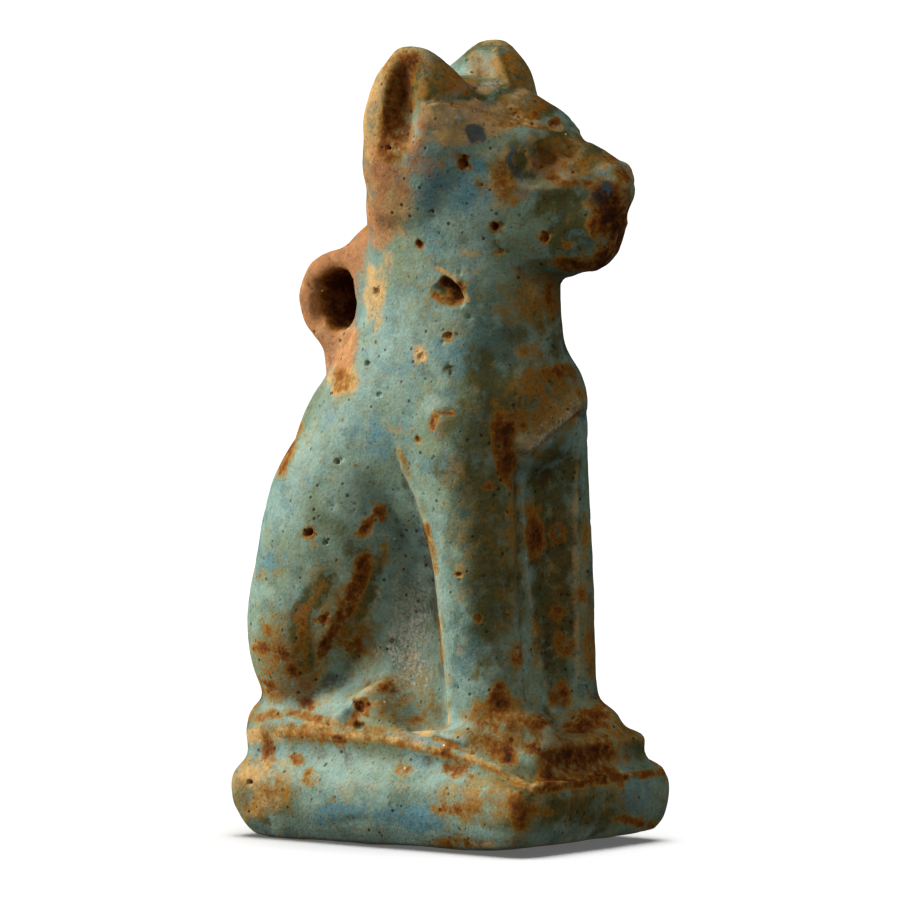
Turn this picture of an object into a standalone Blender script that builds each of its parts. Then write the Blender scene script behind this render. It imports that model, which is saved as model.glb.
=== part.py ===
"""Seated cat amulet of glazed composition: cat, pierced loop and stepped plinth in one piece.

Millimetres throughout, turned into metres where points are made. The cat looks along -Y,
its right side is at -X, and the origin is at the middle of the underside.
"""

import math

import bpy
import bmesh
from mathutils import Matrix, Vector

MM = 0.001

# Driving sizes, in millimetres
FIGURE_HEIGHT = 39.3
LOWER_STEP_LENGTH = 22.4
LOWER_STEP_WIDTH = 14.6
LOWER_STEP_HEIGHT = 3.85
UPPER_STEP_HEIGHT = 2.5
FRONT_LEDGE = 0.9
BACK_LEDGE = 0.3
SIDE_LEDGE = 0.9
STEP_CORNER_RADIUS = 1.5
TOE_LIFT = 0.7
TOE_LENGTH = 5.5
HEEL_LIFT = 0.35
HEEL_LENGTH = 3.0
CORNER_WEAR_REACH = (3.2, 5.0, 2.6)
CORNER_WEAR_PUSH = (0.6, 0.6, -1.3)
TAIL_RADIUS = 1.05
BORE_HEIGHT = 3.3
BORE_DEPTH = 2.85
BORE_TO_NAPE = 0.4
LOOP_WALL = 1.35
LOOP_WIDTH = 4.1

# How far the head is turned to the cat's left, in degrees
HEAD_TURN = 10

# The figure is drawn in fortieths of its own height, measured up from the plinth
FORTIETH = FIGURE_HEIGHT / 40
NAPE = -4.8
BORE_UP = 24.9

# Mesh density: the cells that fuse the masses, in millimetres, and the triangles kept
FUSING_CELL = 0.36
SMOOTHING_PASSES = 7
TRIANGLES_KEPT = 9200

# Sizes that follow from those above
PLINTH_TOP = LOWER_STEP_HEIGHT + UPPER_STEP_HEIGHT
UPPER_STEP_LENGTH = LOWER_STEP_LENGTH - FRONT_LEDGE - BACK_LEDGE
UPPER_STEP_WIDTH = LOWER_STEP_WIDTH - 2 * SIDE_LEDGE
UPPER_STEP_SETBACK = (FRONT_LEDGE - BACK_LEDGE) / 2
HEAD_SWING = Matrix.Rotation(math.radians(HEAD_TURN), 4, "Z")
LOOP_RADIUS = BORE_HEIGHT / 2 + LOOP_WALL
LOOP_MIDDLE = Vector((
    0,
    BORE_HEIGHT / 2 + BORE_TO_NAPE - NAPE * FORTIETH,
    PLINTH_TOP + BORE_UP * FORTIETH,
)) * MM
BORE_MIDDLE = LOOP_MIDDLE - Vector((0, (BORE_HEIGHT - BORE_DEPTH) / 2, 0)) * MM


def spot(side, ahead, up):
    """A point of the figure, in fortieths, as a point of the model in metres."""
    return Vector((side * FORTIETH, -ahead * FORTIETH, PLINTH_TOP + up * FORTIETH)) * MM


def squared_circle(turn, squareness):
    """A point on a unit circle that squareness above 2 draws out towards a square."""
    power = 2 / squareness
    across = math.copysign(abs(math.cos(turn)) ** power, math.cos(turn))
    along = math.copysign(abs(math.sin(turn)) ** power, math.sin(turn))
    return across, along


def skin(mass, rings):
    """Close a solid over rings that hold equal numbers of points."""
    rows = [[mass.verts.new(point) for point in ring] for ring in rings]
    faces = [mass.faces.new(rows[0]), mass.faces.new(rows[-1])]
    for near, far in zip(rows, rows[1:]):
        for index in range(len(near)):
            after = (index + 1) % len(near)
            faces.append(mass.faces.new((near[index], near[after], far[after], far[index])))
    bmesh.ops.recalc_face_normals(mass, faces=faces)


def standing_loft(mass, stations, points=32):
    """Level sections one over another: up, side, back, front, half width, squareness."""
    rings = []
    for up, side, back, front, half_width, squareness in stations:
        ring = []
        for index in range(points):
            across, along = squared_circle(2 * math.pi * index / points, squareness)
            ahead = (front + back) / 2 + along * (front - back) / 2
            ring.append(spot(side + across * half_width, ahead, up))
        rings.append(ring)
    skin(mass, rings)


def forward_loft(mass, stations, points=28):
    """Upright sections one before another: ahead, side, low, high, half width, squareness."""
    rings = []
    for ahead, side, low, high, half_width, squareness in stations:
        ring = []
        for index in range(points):
            across, along = squared_circle(2 * math.pi * index / points, squareness)
            up = (low + high) / 2 + along * (high - low) / 2
            ring.append(spot(side + across * half_width, ahead, up))
        rings.append(ring)
    skin(mass, rings)


def egg(mass, centre, radii, lean=0):
    """An ellipsoid whose top is tipped forward by lean degrees."""
    shape = Matrix.Translation(spot(*centre))
    shape @= Matrix.Rotation(math.radians(lean), 4, "X")
    shape @= Matrix.Diagonal(Vector(radii) * FORTIETH * MM).to_4x4()
    bmesh.ops.create_uvsphere(mass, u_segments=28, v_segments=18, radius=1, matrix=shape)


def rope(mass, path, points=14):
    """A round limb along stations of x, y, z and radius, in millimetres."""
    middles = [Vector((x, y, z)) for x, y, z, radius in path]
    rings = []
    for index, (x, y, z, radius) in enumerate(path):
        before = middles[max(index - 1, 0)]
        after = middles[min(index + 1, len(path) - 1)]
        facing = (after - before).to_track_quat("Z", "Y").to_matrix()
        ring = []
        for step in range(points):
            turn = 2 * math.pi * step / points
            offset = Vector((math.cos(turn), math.sin(turn), 0)) * radius
            ring.append((middles[index] + facing @ offset) * MM)
        rings.append(ring)
    skin(mass, rings)


def add_trunk(mass):
    """Rump, back, chest and neck."""
    standing_loft(mass, (
        (-0.8, 0, -10.6, 4.0, 5.2, 3.4),
        (1.6, 0, -10.9, 4.0, 4.6, 3.2),
        (4.6, 0, -11.1, 4.0, 4.3, 3.0),
        (7.6, 0, -11.2, 3.9, 4.2, 2.8),
        (10.6, 0, -11.2, 4.0, 4.3, 2.6),
        (12.7, 0, -11.1, 4.6, 4.6, 2.5),
        (14.7, 0, -10.9, 5.5, 5.0, 2.4),
        (16.7, 0, -10.3, 6.6, 5.2, 2.4),
        (18.7, 0, -9.3, 7.9, 5.3, 2.4),
        (20.8, 0, -7.8, 7.8, 5.1, 2.3),
        (22.8, 0, -6.2, 7.4, 4.6, 2.2),
        (24.8, 0, NAPE - 0.2, 7.2, 4.5, 2.2),
        (26.8, 0, NAPE, 6.8, 4.5, 2.2),
        (28.9, 0, -4.9, 6.0, 4.5, 2.2),
        (30.9, 0, -5.0, 5.6, 4.5, 2.2),
        (34.0, 0, -4.9, 4.0, 4.4, 2.2),
    ))
    egg(mass, (0, 4.9, 19.2), (5.2, 3.4, 4.0))


def add_haunches(mass):
    """Thighs that draw back as they come down, with a hind paw before each."""
    for side in (-1, 1):
        egg(mass, (side * 4.1, -5.8, 10.8), (2.9, 4.7, 8.0), lean=12)
        egg(mass, (side * 4.1, -7.6, 6.9), (2.9, 3.6, 6.6), lean=8)
        egg(mass, (side * 4.6, -3.4, 0.9), (1.6, 4.0, 1.5), lean=-6)
        egg(mass, (side * 4.9, -1.4, 1.0), (1.4, 1.6, 1.8))


def add_forelegs(mass):
    """Upright forelegs on the front of the plinth, with a sunk panel between them."""
    for side in (-1, 1):
        standing_loft(mass, (
            (-0.8, side * 3.5, 3.3, 7.9, 1.8, 3.0),
            (3.0, side * 3.5, 3.1, 7.6, 1.7, 3.0),
            (7.0, side * 3.5, 2.5, 7.4, 1.7, 3.0),
            (11.0, side * 3.5, 1.7, 7.3, 1.7, 2.8),
            (15.0, side * 3.5, 0.5, 7.1, 1.9, 2.5),
            (18.0, side * 3.1, -0.6, 7.4, 2.4, 2.2),
            (20.5, side * 2.6, -1.4, 7.0, 2.5, 2.1),
            (23.0, side * 2.1, -1.6, 6.2, 2.4, 2.1),
            (25.5, side * 1.5, -1.0, 5.4, 2.2, 2.1),
        ), points=24)
        egg(mass, (side * 3.3, 7.3, 0.6), (2.0, 2.4, 1.3))
    standing_loft(mass, (
        (-0.8, 0, 1.6, 6.7, 2.6, 4.0),
        (3.0, 0, 1.6, 6.2, 2.6, 4.0),
        (12.0, 0, 1.6, 6.0, 2.6, 4.0),
        (17.0, 0, 1.6, 5.6, 2.6, 4.0),
    ))


def add_tail(mass):
    """The tail, laid along the plinth's back and right edges, thinner towards its tip."""
    back = UPPER_STEP_SETBACK + UPPER_STEP_LENGTH / 2 - TAIL_RADIUS
    tip = UPPER_STEP_SETBACK - UPPER_STEP_LENGTH / 2 + 4 * TAIL_RADIUS
    path = []
    for across, along, thick, rise in (
        (0.0, 0.0, 1.05, 0.4),
        (0.6, 0.0, 1.05, 0.4),
        (0.95, 0.0, 1.0, 0.35),
        (1.0, 0.1, 0.85, 0.2),
        (1.0, 0.4, 0.65, 0.0),
        (1.0, 0.7, 0.6, 0.0),
        (1.0, 1.0, 0.5, 0.0),
    ):
        radius = TAIL_RADIUS * thick
        x = across * (radius - UPPER_STEP_WIDTH / 2)
        y = back + along * (tip - back)
        path.append((x, y, PLINTH_TOP + rise * TAIL_RADIUS, radius))
    rope(mass, path)


def add_head(mass):
    """Skull, flat brow and long blunt muzzle that falls back to the chin."""
    egg(mass, (0, 0.2, 33.0), (4.8, 5.1, 4.9))
    forward_loft(mass, (
        (-1.0, 0, 27.0, 38.0, 4.2, 2.6),
        (1.4, 0, 26.8, 38.2, 4.5, 2.8),
        (3.4, 0, 26.7, 37.9, 4.5, 2.9),
        (5.2, 0, 26.6, 37.2, 4.0, 3.0),
        (6.6, 0, 26.6, 36.4, 3.5, 3.1),
        (7.7, 0, 26.6, 35.3, 3.0, 3.2),
        (8.5, 0, 26.7, 34.7, 2.7, 3.4),
        (9.6, 0, 27.0, 34.2, 2.4, 3.4),
        (10.6, 0, 27.9, 33.6, 2.1, 3.2),
        (11.5, 0, 30.0, 33.0, 1.7, 3.0),
        (12.1, 0, 31.0, 32.6, 1.2, 2.6),
    ))


def add_ears(mass):
    """Thick blunt ears on the outer corners of the skull, sloping forward to the brow."""
    for side in (-1, 1):
        standing_loft(mass, (
            (30.0, side * 3.2, -3.2, 2.2, 1.7, 2.2),
            (33.0, side * 3.6, -3.8, 3.2, 2.0, 2.3),
            (36.0, side * 3.7, -3.6, 4.2, 2.2, 2.4),
            (38.0, side * 4.1, -2.7, 3.2, 1.8, 2.4),
            (39.3, side * 4.7, -1.6, 2.0, 1.1, 2.3),
            (40.1, side * 5.0, -0.8, 1.1, 0.6, 2.0),
        ), points=20)


def add_turned_head(mass):
    """Head and ears, swung together about the upright line through the origin."""
    head = bmesh.new()
    add_head(head)
    add_ears(head)
    bmesh.ops.transform(head, verts=head.verts, matrix=HEAD_SWING)
    merge(mass, head)


def bar_across(mass, middle, height, depth, length):
    """A bar along X, oval where its height and its depth from front to back differ."""
    squash = Matrix.Diagonal((1, depth / height, 1, 1))
    bmesh.ops.create_cone(
        mass, cap_ends=True, segments=36, radius1=height / 2 * MM, radius2=height / 2 * MM,
        depth=length * MM,
        matrix=Matrix.Translation(middle) @ squash @ Matrix.Rotation(math.pi / 2, 4, "Y"),
    )


def add_loop(mass):
    """The pierced loop behind the neck and the web that carries it."""
    bar_across(mass, LOOP_MIDDLE, 2 * LOOP_RADIUS, 2 * LOOP_RADIUS, LOOP_WIDTH)
    egg(mass, (0, NAPE + 0.8, BORE_UP + 0.7), (2.6, 3.6, 4.4), lean=-10)
    egg(mass, (0, NAPE - 0.6, BORE_UP + 2.5), (1.9, 1.9, 2.0))
    egg(mass, (0, NAPE - 1.4, BORE_UP - 2.6), (2.0, 2.7, 3.4), lean=25)


def merge(mass, other):
    """Move one set of faces into another."""
    kept = bpy.data.meshes.new("kept")
    other.to_mesh(kept)
    other.free()
    mass.from_mesh(kept)
    bpy.data.meshes.remove(kept)


def rounded_ring(length, width, radius, height, setback=0, corner_points=6):
    """A level rounded rectangle, as points in metres."""
    ring = []
    for quarter in range(4):
        across = 1 if quarter in (0, 3) else -1
        along = 1 if quarter in (0, 1) else -1
        for index in range(corner_points):
            turn = math.pi / 2 * (quarter + index / (corner_points - 1))
            x = across * (width / 2 - radius) + radius * math.cos(turn)
            y = along * (length / 2 - radius) + radius * math.sin(turn) + setback
            ring.append(Vector((x, y, height)) * MM)
    return ring


def add_step(mass, length, width, bottom, height, setback, profile):
    """One step of the plinth: the profile gives share of the height and inset in millimetres."""
    rings = []
    for share, inset in profile:
        radius = max(STEP_CORNER_RADIUS - inset / 2, STEP_CORNER_RADIUS / 2)
        rings.append(rounded_ring(length - 2 * inset, width - 2 * inset, radius,
                                  bottom + share * height, setback))
    skin(mass, rings)


def add_plinth(mass):
    """Two worn steps. The lower one starts below the ground, and the foot cut levels it."""
    add_step(mass, LOWER_STEP_LENGTH, LOWER_STEP_WIDTH, 0, LOWER_STEP_HEIGHT, 0,
             ((-0.1, 1.6), (0.1, 0.9), (0.3, 0.35), (0.55, 0.05), (0.78, 0.0),
              (0.95, 0.05), (1.08, 0.4), (1.18, 0.9)))
    add_step(mass, UPPER_STEP_LENGTH, UPPER_STEP_WIDTH, LOWER_STEP_HEIGHT,
             UPPER_STEP_HEIGHT, UPPER_STEP_SETBACK,
             ((-0.5, 0.3), (0.0, 0.1), (0.3, 0.25), (0.6, 0.2), (0.85, 0.0), (1.05, 0.35)))


def turned(side, ahead, up):
    """A point of the head, in fortieths, where the turn of the head takes it."""
    return HEAD_SWING @ spot(side, ahead, up)


def hollows():
    """Soft hollows, as centre, radii and push: ears, eyes, and behind each foreleg."""
    dents = []
    for side in (-1, 1):
        dents += [
            (turned(side * 5.9, -0.1, 36.6), (1.5, 1.3, 3.2), (-side * 0.9, 0.2, -0.2)),
            (turned(side * 3.1, 7.2, 33.3), (1.5, 2.3, 1.5), (-side * 0.6, 0.2, 0)),
            (spot(side * 4.6, 0.4, 7.0), (2.2, 2.6, 6.5), (-side * 0.7, 0, 0)),
        ]
    fortieth = FORTIETH * MM
    return [(centre, Vector(radii) * fortieth, Vector(push) * fortieth)
            for centre, radii, push in dents]


def worn_corner():
    """The right front corner of the upper step, worn to a slope down to the lower step."""
    centre = Vector((
        -UPPER_STEP_WIDTH / 2,
        UPPER_STEP_SETBACK - UPPER_STEP_LENGTH / 2,
        PLINTH_TOP,
    )) * MM
    radii = Vector(CORNER_WEAR_REACH) * MM
    return centre, radii, Vector(CORNER_WEAR_PUSH) * MM


def press(mesh, dents):
    """Push the surface in around each centre, fading out at its radii."""
    for vertex in mesh.vertices:
        shift = Vector()
        for centre, radii, push in dents:
            away = vertex.co - centre
            reach = sum((away[axis] / radii[axis]) ** 2 for axis in range(3))
            if reach < 1:
                shift += push * (1 - reach) ** 2
        vertex.co += shift


def glaze_material():
    """Matt blue-green glaze."""
    material = bpy.data.materials.new("glaze")
    material.use_nodes = True
    shader = material.node_tree.nodes["Principled BSDF"]
    shader.inputs["Base Color"].default_value = (0.20, 0.31, 0.29, 1)
    shader.inputs["Roughness"].default_value = 0.55
    shader.inputs["Metallic"].default_value = 0
    return material


def new_collection(name):
    collection = bpy.data.collections.new(name)
    bpy.context.scene.collection.children.link(collection)
    return collection


def new_object(name, mass, collection):
    mesh = bpy.data.meshes.new(name)
    mass.to_mesh(mesh)
    mass.free()
    thing = bpy.data.objects.new(name, mesh)
    collection.objects.link(thing)
    return thing


def bore_cutter(collection):
    """A bar long enough to clear both sides of the loop."""
    bar = bmesh.new()
    bar_across(bar, BORE_MIDDLE, BORE_HEIGHT, BORE_DEPTH, LOOP_WIDTH + UPPER_STEP_WIDTH)
    return new_object("bore_cutter", bar, collection)


def ground_cutter(name, collection, edge, lift, reach):
    """A block whose top is the ground as far as the edge and rises by lift over reach."""
    block = bmesh.new()
    size = 3 * LOWER_STEP_LENGTH * MM
    bmesh.ops.create_cube(block, size=size,
                          matrix=Matrix.Translation(Vector((0, 0, -size / 2))))
    tilt = math.atan(lift / reach)
    place = Matrix.Translation(Vector((0, edge, 0)) * MM)
    bmesh.ops.transform(block, verts=block.verts, matrix=place @ Matrix.Rotation(tilt, 4, "X"))
    return new_object(name, block, collection)


def subtract(thing, cutter):
    cutter.hide_render = True
    cutter.display_type = "WIRE"
    cut = thing.modifiers.new(cutter.name, "BOOLEAN")
    cut.operation = "DIFFERENCE"
    cut.solver = "EXACT"
    cut.object = cutter


def fuse(thing):
    """Melt the overlapping masses into one skin and round off where they meet."""
    melt = thing.modifiers.new("melt", "REMESH")
    melt.mode = "VOXEL"
    melt.voxel_size = FUSING_CELL * MM
    melt.use_smooth_shade = True
    soften = thing.modifiers.new("soften", "SMOOTH")
    soften.iterations = SMOOTHING_PASSES
    loose_masses = thing.data
    depsgraph = bpy.context.evaluated_depsgraph_get()
    thing.data = bpy.data.meshes.new_from_object(thing.evaluated_get(depsgraph))
    thing.modifiers.clear()
    bpy.data.meshes.remove(loose_masses)


def thin_out(thing):
    """Keep a set number of triangles."""
    thing.data.calc_loop_triangles()
    thin = thing.modifiers.new("thin", "DECIMATE")
    thin.ratio = min(1, TRIANGLES_KEPT / len(thing.data.loop_triangles))


def level_underside(thing, cutters):
    """A flat underside that rises a little towards the worn front and back edges."""
    half_length = LOWER_STEP_LENGTH / 2
    subtract(thing, ground_cutter("foot_cutter", cutters, 0, 0, half_length))
    subtract(thing, ground_cutter("heel_cutter", cutters, half_length - HEEL_LENGTH,
                                  HEEL_LIFT, HEEL_LENGTH))
    subtract(thing, ground_cutter("toe_cutter", cutters, TOE_LENGTH - half_length,
                                  TOE_LIFT, -TOE_LENGTH))


def main():
    for thing in list(bpy.data.objects):
        bpy.data.objects.remove(thing, do_unlink=True)

    parts = new_collection("cat_amulet")
    cutters = new_collection("cutters")

    mass = bmesh.new()
    for add in (add_plinth, add_trunk, add_haunches, add_forelegs, add_tail,
                add_turned_head, add_loop):
        add(mass)
    amulet = new_object("cat_amulet", mass, parts)
    fuse(amulet)
    amulet.data.materials.clear()
    amulet.data.materials.append(glaze_material())
    press(amulet.data, hollows() + [worn_corner()])
    thin_out(amulet)
    level_underside(amulet, cutters)
    subtract(amulet, bore_cutter(cutters))


main()
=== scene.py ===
"""Looks of the seated cat amulet: its worn, chipped and pitted skin and its stained glaze.

The scene is in metres, the sculpting in millimetres. Marks seen in the photograph are placed
by its pixels: a line of sight through a pixel finds the skin that carries the mark.
"""

import math
import random

import bmesh
import bpy
import numpy as np
from mathutils import Matrix, Vector, noise
from mathutils.bvhtree import BVHTree


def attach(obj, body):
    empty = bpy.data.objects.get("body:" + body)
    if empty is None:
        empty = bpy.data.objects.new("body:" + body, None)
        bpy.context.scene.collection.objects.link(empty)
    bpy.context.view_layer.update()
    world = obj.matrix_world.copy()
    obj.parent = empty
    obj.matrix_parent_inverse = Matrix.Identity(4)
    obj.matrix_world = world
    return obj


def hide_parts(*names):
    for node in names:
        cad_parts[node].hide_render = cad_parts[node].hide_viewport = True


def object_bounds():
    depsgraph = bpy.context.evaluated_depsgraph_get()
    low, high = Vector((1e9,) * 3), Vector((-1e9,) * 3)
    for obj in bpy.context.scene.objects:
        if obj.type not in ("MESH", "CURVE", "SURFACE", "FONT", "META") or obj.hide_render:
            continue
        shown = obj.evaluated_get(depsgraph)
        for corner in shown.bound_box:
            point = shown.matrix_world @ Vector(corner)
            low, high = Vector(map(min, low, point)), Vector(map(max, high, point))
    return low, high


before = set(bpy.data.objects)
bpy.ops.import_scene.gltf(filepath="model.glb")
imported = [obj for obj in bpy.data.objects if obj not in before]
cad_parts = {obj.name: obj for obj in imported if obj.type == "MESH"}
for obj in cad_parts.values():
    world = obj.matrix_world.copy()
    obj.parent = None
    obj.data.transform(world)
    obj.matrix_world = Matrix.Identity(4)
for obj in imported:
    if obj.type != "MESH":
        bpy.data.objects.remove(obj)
CAD_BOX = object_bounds()

MM = 0.001

# Camera of the photograph, in degrees, metres and pixels
CAMERA_AZIMUTH = -52
CAMERA_PITCH = 4.3
CAMERA_DISTANCE = 0.8
SENSOR_WIDTH = 36
PICTURE_SIZE = 900
PIXELS_PER_MM = 17.44
GROUND_ROW = 840

# The head's turn to the cat's left, in degrees, and the row of the photograph where it starts
HEAD_TURN = 10
NECK_ROW = 262

# Skin: distances in millimetres, and rounds of smoothing
WELD = 0.0005
SKIN_CELL = 0.23
SKIN_SMOOTHING = 5

# The widths, as shares of a fine mark's own, within which its faces are split, round by round
SPLIT_WIDTHS = (1.6, 1.0)

# Ragged outlines of marks: lump sizes in millimetres, share, and small marks' size in pixels
SMALL_WARP = 0.3
SMALL_WARP_SEED = 21
LARGE_WARP = 0.9
LARGE_WARP_SEED = 22
WARP = 0.9
SMALL_MARK = 12

# How far before and behind itself a mark reaches: an oval as a share of its size, a line in
# millimetres, and the power of the fall
OVAL_REACH = 1.6
LINE_REACH = 2.2
REACH_FALL = 4

# Farther off than any point, in pixels
FAR_OFF = 1e9

# Half the width over which a ledge changes from raised to sunk, in pixels
LEDGE_BLEND = 6

# A stained line ends this many half widths from its middle, and is full at one fewer
LINE_EDGE = 1.4

# Noise of another seed is noise from another place, this many lumps on for each seed
SEED_STEP = (17.3, 5.1, 9.7)

# Lumps of the hand-pressed surface, each as height and size in millimetres, and seed
LUMPS = ((0.12, 4.5, 1), (0.05, 1.7, 2))
FINE_LUMP_HEIGHT = 0.016
RECESS_LUMP_HEIGHT = 0.03
FINE_LUMP_SIZE = 0.55
FINE_LUMP_SEED = 3

# Pits strewn over the surface: how many, least and greatest radius and depth in millimetres
PIT_COUNT = 260
PIT_RADIUS = (0.18, 0.42)
PIT_DEPTH = (0.03, 0.11)
PIT_DRAWS = 4

# How much of a mark's size a pit in its middle takes up
PIT_SHARE = 0.8

# Wear on what stands out, and painted shade with dirt in what lies back, by this much, in
# millimetres
RELIEF_ROUNDS = 6
FULL_RELIEF = 0.06

# The bore's middle, along Y and up, and how far from it its wall may be, in millimetres
BORE_PLACE = (6.54, 30.81)
BORE_REACH = 2.1
BORE_HALF_LENGTH = 2
BORE_RUST_AND_SHADE_BLEND = 0.7

# The bore's far end gets thicker by this much on walls that face this far forward, from this
# place across over this length
BORE_THICKENING = 0.4
BORE_FACING = -0.2
BORE_THICK_FROM = -1.2
BORE_THICK_LENGTH = 2

# The chip's depth in millimetres, its width and rim in pixels, and the powers of its slopes
CHIP_DEPTH = 0.75
CHIP_WIDTH = 26
CHIP_RIM = 3
CHIP_SLOPE = 1.3
CHIP_FILL = 1.6

# Stains strewn on the hidden sides, each as a kind, a count, and least and greatest radius in
# millimetres, then their upward stretch, strength, facing and seed
HIDDEN_STAINS = (("rust", 42, 0.4, 1.5), ("olive", 26, 1.5, 4.0), ("blue", 16, 1.5, 4.0),
                 ("tan", 12, 0.6, 1.6))
HIDDEN_STRETCH = (1, 2.2)
HIDDEN_STRENGTH = (0.5, 0.95)
HIDDEN_FACING = -0.05
HIDDEN_DRAWS = 11

# Bare brown patches down the nape, each as height and half height, then their place along Y,
# half width and half depth, strength and slope
NAPE_PATCHES = ((38, 5.5), (33, 4.5), (27, 4.0))
NAPE_ALONG = 7.0
NAPE_REACH = (3.4, 5.0)
NAPE_STRENGTH = 0.95
NAPE_SLOPE = 0.5

# Floor: reach in metres, share of light thrown back, roughness and glow
FLOOR_REACH = 20
FLOOR_COLOUR = (0.85, 0.85, 0.85)
FLOOR_ROUGHNESS = 0.9
FLOOR_GLOW = 0.1

# Lamps, each as a name, the shares of its direction to the right, to the camera and upward,
# its softness in degrees, its strength, what it lights and whether it makes glints
LAMPS = (
    ("key", (-0.95, -0.1, 0.5), 36, 5.2, "subject", True),
    ("fill", (0.4, 0.8, 0.3), 60, 0.75, "subject", True),
    ("top", (0.0, 0.2, 1.0), 60, 0.5, "subject", True),
    ("far_side", (0.0, -1.0, 0.08), 8, 1.6, "subject", False),
    ("floor_lamp", (0.0, 0.0, 1.0), 50, 3.9, "floor", True),
)
SKY_STRENGTH = 0.06


def camera_axes():
    """Where the camera stands, and its right, up and away-from-the-object directions."""
    turn = math.radians(CAMERA_AZIMUTH)
    pitch = math.radians(CAMERA_PITCH)
    back = Vector((
        math.sin(turn) * math.cos(pitch),
        -math.cos(turn) * math.cos(pitch),
        math.sin(pitch),
    ))
    target = Vector((0, 0, (GROUND_ROW - PICTURE_SIZE / 2) / PIXELS_PER_MM * MM))
    right = Vector((math.cos(turn), math.sin(turn), 0))
    return target + back * CAMERA_DISTANCE, right, back.cross(right), back


EYE, RIGHT, UP, BACK = camera_axes()
FOCAL_PIXELS = CAMERA_DISTANCE / MM * PIXELS_PER_MM
HEAD_SWING = np.array(Matrix.Rotation(math.radians(HEAD_TURN), 3, "Z"))
FLIP = np.diag((-1.0, 1.0, 1.0))


def project(points):
    """Photograph column and row, and nearness to the camera, of points in millimetres."""
    offset = points - np.array(EYE) / MM
    far = -offset @ np.array(BACK)
    column = PICTURE_SIZE / 2 + FOCAL_PIXELS * (offset @ np.array(RIGHT)) / far
    row = PICTURE_SIZE / 2 - FOCAL_PIXELS * (offset @ np.array(UP)) / far
    return np.stack((column, row, -far), axis=1)


def smooth_step(value):
    """0 below 0 and 1 above 1, with a soft change between them."""
    value = np.clip(value, 0, 1)
    return value * value * (3 - 2 * value)


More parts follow.
